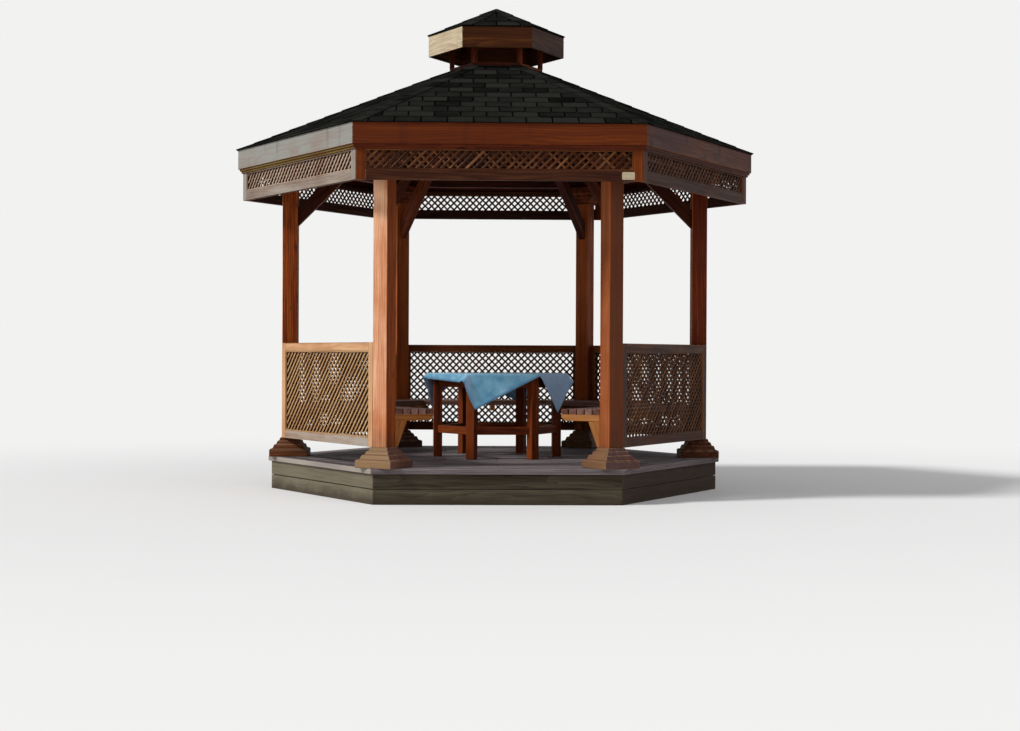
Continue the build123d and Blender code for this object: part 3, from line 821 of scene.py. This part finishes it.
@dataclass
class Lattice:
    """Crossed diagonal laths in a frame, with small beads that hold them.

    Attributes:
        node: the CAD node that they stand for.
        side: the side of the pavilion.
        half: half the opening's width.
        low: the opening's foot.
        high: the opening's head.
        middle: distance of the laths' crossing plane from the axis.
        finish: what the laths are made of.
        shelter: how far the rear laths are darkened as painted shade of the front laths, 0 to 1.
        pitch: spacing along the rail.
        lath: a lath's width.
        thick: a lath's thickness.
        bead: width of the beads.
    """

    node: str
    side: Side
    half: float
    low: float
    high: float
    middle: float
    finish: Finish
    shelter: float
    pitch: float = 0.067
    lath: float = 0.018
    thick: float = 0.008
    bead: float = 0.010

    def build(self) -> None:
        """Cuts and fixes the laths."""
        work = Joinery(f"{self.node}_laths", self.finish, Slot.LATTICE, 0.0012)
        rng = random.Random(self.node)
        height = self.high - self.low
        count = math.ceil((2 * self.half + height) / self.pitch) + 1
        first = (height - count * self.pitch) / 2
        reach = self.lath / math.sqrt(2)
        opening = [(-1, 0, self.half), (1, 0, self.half), (0, -1, 0), (0, 1, height)]
        # The rear laths take painted shade from the front ones.
        for hand, shelter in ((1, 0.0), (-1, self.shelter)):
            # The panel stands upright, x along it, y up it and z out of its face: the outer laths rise to the right.
            upright = self.side.turn @ Matrix.Translation((0, self.middle, self.low)) @ Matrix((
                (-hand, 0, 0, 0), (0, 0, hand, 0), (0, 1, 0, 0), (0, 0, 0, 1)))
            for i in range(count + 1):
                c = first + i * self.pitch + rng.uniform(-0.0025, 0.0025)
                lean = rng.uniform(-0.003, 0.003)
                strip = [(x, x + c + edge + end) for x, edge, end in (
                    (-BEYOND, -reach, 0), (BEYOND, -reach, lean), (BEYOND, reach, lean), (-BEYOND, reach, 0))]
                far = self.thick - rng.uniform(0, 0.0008)
                work.slab(clipped(strip, opening), upright, CLEAR, far, shelter)
        self.edge_beads(work)
        work.finished(self.node)

    def edge_beads(self, work: Joinery) -> None:
        """Adds a bead in front of the laths along each edge of the opening."""
        place = self.side.turn @ Matrix.Translation((0, self.middle, 0))
        near = self.thick + 0.0003
        h, low, high = self.half, self.low + self.bead, self.high - self.bead
        for x0, x1, z0, z1 in ((-h, h, self.low, low), (-h, h, high, self.high), (-h, self.bead - h, low, high),
                               (h - self.bead, h, low, high)):
            work.slab(oblong(x0, near, x1, near + self.bead), place, z0, z1)


@dataclass
class PitchedRoof:
    """One hexagonal roof: sheathing boards under courses of slotted shingle tabs, with caps on the hips.

    Attributes:
        name: what its pieces' names begin with.
        eave: distance of the shingles' edge from the axis.
        edge_height: height of the shingles' top there.
        slope: rise over run, square to a side.
        inner: distance from the axis at which the faces end.
        board_eave: the same for the sheathing's lower edge.
        board_thick: the sheathing's thickness.
        shingle: thickness of the shingles as a whole.
        exposure: what shows of a course, down the slope.
        overlap: how far a course runs on under the next.
        tab: a tab's width.
        tab_thick: its thickness.
        tab_rise: how far the course below lifts its lower edge.
        slot: the gap between tabs.
        plank: a sheathing board's width.
        wing: how far a hip's cap reaches to either side.
    """

    name: str
    eave: float
    edge_height: float
    slope: float
    inner: float
    board_eave: float
    board_thick: float
    shingle: float
    exposure: float = 0.154
    overlap: float = 0.03
    tab: float = 0.214
    tab_thick: float = 0.005
    tab_rise: float = 0.0045
    slot: float = 0.013
    plank: float = 0.118
    wing: float = 0.085

    @property
    def cos(self) -> float:
        """The slope's run over its length."""
        return 1 / math.sqrt(1 + self.slope ** 2)

    @property
    def length(self) -> float:
        """A roof face's length up its slope."""
        return (self.eave - self.inner) / self.cos

    def face(self, side: Side) -> Matrix:
        """A roof face's own plane: x along the eave, y up the slope, z out of it."""
        cos, sin = self.cos, self.slope * self.cos
        return side.turn @ Matrix(
            ((-1, 0, 0, 0), (0, -cos, sin, self.eave), (0, sin, cos, self.edge_height), (0, 0, 0, 1)))

    def courses(self, least: float) -> Iterator[tuple[int, float, float]]:
        """Gives each course's number, foot and head, as long as it has the least depth."""
        for row in range(math.ceil(self.length / self.exposure)):
            low = row * self.exposure
            high = min(low + self.exposure + self.overlap, self.length)
            if high - low >= least:
                yield row, low, high

    def build(self) -> None:
        """Boards and shingles the roof."""
        # Half the face's width at y up the slope is (eave - y * cos) * tan 30.
        hips = [(s, self.cos * TAN30, self.eave * TAN30 - 0.003) for s in (-1, 1)]
        inside = [(a, b, c - 0.004) for a, b, c in hips]
        rng = random.Random(self.name)
        tabs = Joinery(f"{self.name}_tabs", SHINGLES, Slot.SHINGLES, 0.0)
        planks = Joinery(f"{self.name}_planks", CEILING_STAIN, Slot.ROOF, 0.0025)
        for side in Side:
            face = self.face(side)
            # A thin sheet closes what shows in the slots; it is drawn dark as their painted shade.
            tabs.slab(clipped(oblong(-BEYOND, 0.002, BEYOND, self.length), hips), face, -self.shingle,
                      0.0006 - self.shingle, 1.0)
            for row, low, high in self.courses(0.04):
                shift = (row % 2) * self.tab / 2 + rng.uniform(-0.006, 0.006)
                for column in range(-9, 10):
                    x = column * self.tab + shift + self.slot / 2
                    wide = oblong(x, low, x + self.tab - self.slot, high)
                    self.lay_tab(tabs, clipped(wide, hips), face, low, high, rng)
            foot = (self.eave - self.board_eave) / self.cos
            while foot < self.length:
                strip = oblong(-BEYOND, foot, BEYOND, min(foot + self.plank, self.length))
                planks.slab(clipped(strip, inside), face, -self.shingle - self.board_thick, -self.shingle - CLEAR)
                foot += self.plank + 0.0008
        self.lay_hips(tabs, rng)
        tabs.finished(f"{self.name}_shingles")
        planks.finished(f"{self.name}_sheathing")

    def lay_tab(self, tabs: Joinery, outline: list[Point], face: Matrix, low: float, high: float,
                rng: random.Random) -> None:
        """Adds one tab, its lower edge resting on the course below.

        Args:
            tabs: the piece that takes it.
            outline: its corners on the roof face.
            face: the face's plane.
            low: where its lower edge lies, up the slope.
            high: where its head lies.
            rng: the seeded source of choices.
        """
        if len(outline) < 3 or area(outline) < SMALL_TAB:
            return
        # All lie a little unevenly, and one in sixteen has curled.
        lift = rng.uniform(0, 0.0015) + (0.003 if rng.random() < 0.06 else 0.0)
        corners = []
        for x, y in outline:
            t = (y - low) / (high - low)
            base = -self.shingle + (self.tab_rise + lift) * (1 - t) + CLEAR
            corners.append((x, y, base, base + self.tab_thick - 0.0018 * t))
        tabs.hull(corners, face)

    def lay_hips(self, tabs: Joinery, rng: random.Random) -> None:
        """Folds a cap over each hip, course by course.

        Args:
            tabs: the piece that takes them.
            rng: the seeded source of choices.
        """
        for side in Side:
            right, left = self.face(side), self.face(Side((side.value - 60) % 360))
            for _, low, high in self.courses(0.05):
                lift = rng.uniform(0.0, 0.0015)
                for face, hand in ((right, 1), (left, -1)):
                    corners = []
                    for y, raised in ((low, 0.0065), (high, 0.0008)):
                        hip = hand * (self.eave - y * self.cos) * TAN30
                        inner = hand * max(abs(hip) - self.wing, 0.0005)
                        base = raised + lift - self.shingle + self.tab_rise
                        corners += [(x, y, base, base + self.tab_thick)
                                    for x in ((hip, inner) if y == low else (inner, hip))]
                    tabs.hull(corners, face)


@dataclass
class Tablecloth:
    """A square cloth laid askew over the six-sided table, hanging in folds.

    Attributes:
        side: the cloth's side, flat.
        turn: its turn in plan, in degrees.
        centre: where its middle lies.
        top: the table's top.
        corner: the table's corner radius.
        table_turn: the table's own turn in plan, in degrees.
        table_centre: where the table's middle stands.
        cells: squares along each side of the mesh.
        thick: the cloth's thickness.
        hem: the hem's width.
        bend: how far past the table's edge the quick fold goes down; not used.
        frames: how long it is left to fall, at 24 frames a second.
    """

    side: float = 1.318
    turn: float = 31.7
    centre: Point = (0.053, -0.006)
    top: float = 1.065
    corner: float = 0.655
    table_turn: float = 4.5
    table_centre: Point = (0.025, 0.0)
    cells: int = 84
    thick: float = 0.0016
    hem: float = 0.024
    bend: float = 0.004
    frames: int = 80

    def build(self, frame: dict) -> None:
        mesh = self.cut()
        self.drape(mesh, frame)
        self.thicken(mesh)
        piece = deliver(mesh, COTTON, Slot.CLOTH, ["tablecloth"])

    def cut(self) -> bpy.types.Mesh:
        """Makes the flat square just above the table, with its own coordinates and hem."""
        work = bmesh.new()
        grain, hem = work.verts.layers.float_vector.new("grain"), work.verts.layers.float.new("tone")
        spin = Matrix.Rotation(math.radians(self.turn), 4, "Z")
        half = self.side / 2
        steps = [-half + self.side * i / self.cells for i in range(self.cells + 1)]
        rows = []
        for x in steps:
            rows.append([])
            for y in steps:
                flat = Vector((x, y, 0))
                vert = work.verts.new(spin @ flat + Vector((*self.centre, self.top + 0.003)))
                vert[grain] = flat
                vert[hem] = 1.0 if half - max(abs(flat.x), abs(flat.y)) < self.hem else 0.0
                rows[-1].append(vert)
        for near, far in zip(rows, rows[1:]):
            for j in range(self.cells):
                work.faces.new([near[j], far[j], far[j + 1], near[j + 1]])
        return meshed(work, "tablecloth_cotton")

    def past_edge(self, place: Vector) -> tuple[Vector, float]:
        """The outward direction of the table edge that a place is nearest to or furthest past, and how far."""
        from_middle = place - Vector((*self.table_centre, 0))
        out = max((Vector((*heading(side.value + self.table_turn), 0)) for side in Side), key=from_middle.dot)
        return out, from_middle.dot(out) - self.corner * COS30

    def drape(self, mesh: bpy.types.Mesh, frame: dict) -> None:
        """Drops the cloth on the table and keeps where it comes to rest.

        Args:
            mesh: the flat cloth, which is changed.
        """
        scene = bpy.context.scene
        cloth = stand("falling_cloth", mesh)
        board = stand("prop_table_top", frame["nodes"]["table_top"].data.copy())
        board.modifiers.new("Collision", "COLLISION")
        board.collision.thickness_outer = 0.002
        board.collision.cloth_friction = 20.0
        # The cloth's weight holds it where it lies on the table, and what is past the edge falls.
        lying = cloth.vertex_groups.new(name="lying")
        lying.add([v.index for v in mesh.vertices if self.past_edge(v.co)[1] < -0.012], 1.0, "REPLACE")
        weave = cloth.modifiers.new("Cloth", "CLOTH")
        cotton, touch, cache = weave.settings, weave.collision_settings, weave.point_cache
        cotton.vertex_group_mass = lying.name
        cotton.quality, cotton.mass, cotton.air_damping = 6, 0.25, 4.0
        cotton.tension_stiffness = cotton.compression_stiffness = 25.0
        cotton.shear_stiffness, cotton.bending_stiffness = 12.0, 20.0
        touch.collision_quality, touch.distance_min, touch.use_self_collision = 4, 0.003, False
        cache.frame_start, cache.frame_end = 1, self.frames
        for step in range(1, self.frames + 1):
            scene.frame_set(step)
        settled = cloth.evaluated_get(bpy.context.evaluated_depsgraph_get())
        for vert, rest in zip(mesh.vertices, settled.data.vertices):
            vert.co = rest.co
        for prop in (cloth, board):
            bpy.data.objects.remove(prop)
        scene.frame_set(1)

    def thicken(self, mesh: bpy.types.Mesh) -> None:
        """Gives the cloth its thickness and a doubled hem.

        Args:
            mesh: the draped cloth, which is changed.
        """
        work = bmesh.new()
        work.from_mesh(mesh)
        bmesh.ops.recalc_face_normals(work, faces=work.faces)
        if sum(f.normal.z for f in work.faces) < 0:
            bmesh.ops.reverse_faces(work, faces=work.faces)
        hem = work.verts.layers.float["tone"]
        work.normal_update()
        offsets = {v: v.normal.copy() * (self.thick * (1.5 if v[hem] > 0.5 else 1.0)) for v in work.verts}
        faces, border = list(work.faces), [e for e in work.edges if e.is_boundary]
        twins = {v: work.verts.new(v.co, v) for v in offsets}
        for vert, away in offsets.items():
            vert.co += away
        for face in faces:
            work.faces.new([twins[v] for v in reversed(face.verts)])
        for a, b in (edge.verts for edge in border):
            work.faces.new([a, b, twins[b], twins[a]])
        bmesh.ops.recalc_face_normals(work, faces=work.faces)
        for face in work.faces:
            face.smooth = True
        work.to_mesh(mesh)
        work.free()


@dataclass
class BarePlate:
    """The small blank plate on the frieze over the entrance.

    Attributes:
        centre: its middle on the frieze's face.
        size: its width and height.
        thick: its thickness.
        round: its corners' radius.
    """

    centre: tuple[float, float, float] = (1.049, -2.030, 2.707)
    size: Point = (0.104, 0.063)
    thick: float = 0.003
    round: float = 0.010

    def build(self) -> None:
        """Fixes the plate, bare, to the frieze's foot rail."""
        plate = Joinery("frieze_plate", PLATE_PAINT, Slot.TIMBER, 0.0008)
        w, h = (measure / 2 - self.round for measure in self.size)
        outline = [(x * w + self.round * cos, y * h + self.round * sin)
                   for x, y, start in ((1, 1, 0), (-1, 1, 90), (-1, -1, 180), (1, -1, 270))
                   for cos, sin in (heading(start + k * 22.5) for k in range(5))]
        upright = Matrix.Translation(self.centre) @ Matrix.Rotation(math.radians(90), 4, "X")
        plate.slab(outline, upright, 0.0, self.thick)
        plate.finished()


@dataclass
class Studio:
    """The pale floor, the lamps and the camera at the photograph's angle.

    Attributes:
        eye: the camera's place.
        yaw: its turn towards +X.
        pitch: its tilt upwards.
        roll: its roll.
        focal: its focal length in pixels of the frame.
        frame_width: the frame's width in pixels.
        sensor: the frame's width in millimetres.
        backdrop: the colour of all that isn't the object.
    """

    eye: tuple[float, float, float] = (-0.266, -15.99, 1.244)
    yaw: float = 0.0255
    pitch: float = -0.0061
    roll: float = 0.0046
    focal: float = 1715.5
    frame_width: int = 1020
    sensor: float = 36.0
    backdrop: str = "#f2f2f1"

    def build(self) -> None:
        """Sets up the stage."""
        self.camera()
        self.floor()
        self.lamps()
        self.world()
        bpy.context.scene.view_settings.view_transform = "Standard"

    def camera(self) -> None:
        """Puts the camera where the photograph was taken from."""
        lens = bpy.data.cameras.new("photo_view")
        lens.sensor_width, lens.sensor_fit = self.sensor, "HORIZONTAL"
        lens.lens = self.focal * self.sensor / self.frame_width
        lens.clip_end = 200.0
        view = stand("photo_view", lens)
        view.matrix_world = Matrix.Translation(self.eye)
        # A camera looks down at first, and a quarter turn about x makes it level.
        for angle, axis in ((-self.yaw, "Z"), (math.pi / 2 + self.pitch, "X"), (self.roll, "Z")):
            view.matrix_world = view.matrix_world @ Matrix.Rotation(angle, 4, axis)
        bpy.context.scene.camera = view

    def floor(self) -> None:
        """Lays a pale floor that runs out to a pale backdrop."""
        work = bmesh.new()
        bmesh.ops.create_grid(work, x_segments=8, y_segments=8, size=60.0)
        floor = stand("studio_floor", meshed(work, "studio_floor"))
        made = bpy.data.materials.new("studio_floor")
        s = Shader(made)
        far = s.span(s.vector("LENGTH", s.object_place()), 4.5, 11.0, 0.0, 1.0, ease=True)
        s.split(s.math("MULTIPLY", s.seen(), far), s.add("ShaderNodeBsdfDiffuse", {"Color": "#f4f4f3"}),
                s.add("ShaderNodeEmission", {"Color": self.backdrop, "Strength": 1.0}), "ShaderNodeOutputMaterial")
        floor.data.materials.append(made)
        floor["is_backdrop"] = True

    def lamps(self) -> None:
        """Lights the pavilion softly, with the key from the front left."""
        for name, power, spread, tilt, turn in (("key", 2.3, 10, 50, -68), ("fill", 0.42, 60, 62, 36)):
            sun = bpy.data.lights.new(name, "SUN")
            sun.energy, sun.angle = power, math.radians(spread)
            stand(name, sun).rotation_euler = (math.radians(tilt), 0, math.radians(turn))

    def world(self) -> None:
        """Surrounds the pavilion with soft light and a pale backdrop."""
        world = bpy.data.worlds.new("studio")
        s = Shader(world)
        s.split(s.seen(), s.add("ShaderNodeBackground", {"Color": "#f4f4f6", "Strength": 0.42}),
                s.add("ShaderNodeBackground", {"Color": self.backdrop, "Strength": 1.0}), "ShaderNodeOutputWorld")
        bpy.context.scene.world = world


def corners(box: SizeBox) -> list[list[float]]:
    """A box's two corners as plain lists."""
    return [[float(v) for v in corner] for corner in box]


def main() -> None:
    """Builds the pavilion's looks round its frame."""
    logging.basicConfig(level=logging.INFO, format="%(name)s %(message)s")
    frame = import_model()
    cad = corners(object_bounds())
    Timberwork().build(frame)
    Deck().build()
    for side in Side:
        if side is not Side.FRONT:
            Lattice(f"balustrade_lattice_{side.label}", side, half=0.8471, low=0.5443, high=1.2727,
                    middle=1.71857, finish=LATH_STAIN, shelter=1.0).build()
        Lattice(f"frieze_lattice_{side.label}", side, half=1.0897, low=2.7513, high=2.9147,
                middle=2.00747, finish=NET_STAIN, shelter=0.35).build()
    PitchedRoof("roof", eave=2.08567, edge_height=3.13145, slope=0.43689, inner=0.3753, board_eave=2.0454,
                board_thick=0.022, shingle=0.008).build()
    PitchedRoof("lantern", eave=0.5536, edge_height=4.20428, slope=0.47056, inner=0.008, board_eave=0.5253,
                board_thick=0.018, shingle=0.0072).build()
    Tablecloth().build(frame)
    BarePlate().build()
    Studio().build()
    {"cad": cad, "visual": corners(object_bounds())}


if __name__ == "__main__":
    main()
